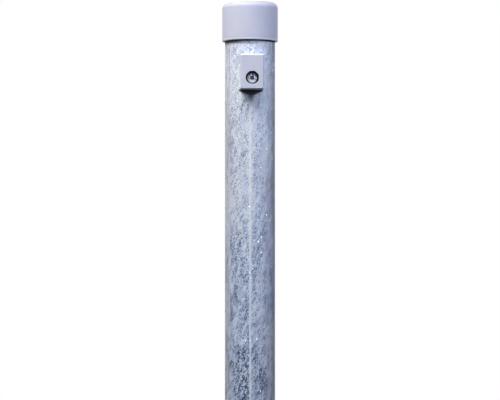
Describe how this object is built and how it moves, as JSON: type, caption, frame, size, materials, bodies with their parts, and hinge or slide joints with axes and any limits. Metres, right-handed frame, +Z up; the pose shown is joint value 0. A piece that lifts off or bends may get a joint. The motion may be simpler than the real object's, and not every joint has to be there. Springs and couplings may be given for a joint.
{
  "type": "gate post",
  "caption": "Round galvanised steel gate post with a seam-welded open-ended tube, a push-on plastic cap and a screwed plastic holder for a fence's tension wire.",
  "frame": {"origin": "centre of the tube's lower end, on the tube's axis", "axes": "+Z up along the tube, -Y towards the side that carries the wire holder, +X along the wire that the holder takes"},
  "size_m": [0.0472, 0.0538, 1.2535],
  "materials": {
    "zinc": "hot-dip galvanised, dull with brighter runs and flecks",
    "cap_plastic": "satin moulded",
    "holder_plastic": "satin moulded",
    "screw_steel": "bright zinc plated"
  },
  "bodies": {
    "root": {"post_tube": "zinc", "post_cap": "cap_plastic", "wire_holder": "holder_plastic", "holder_screw": "screw_steel"}
  },
  "joints": []
}
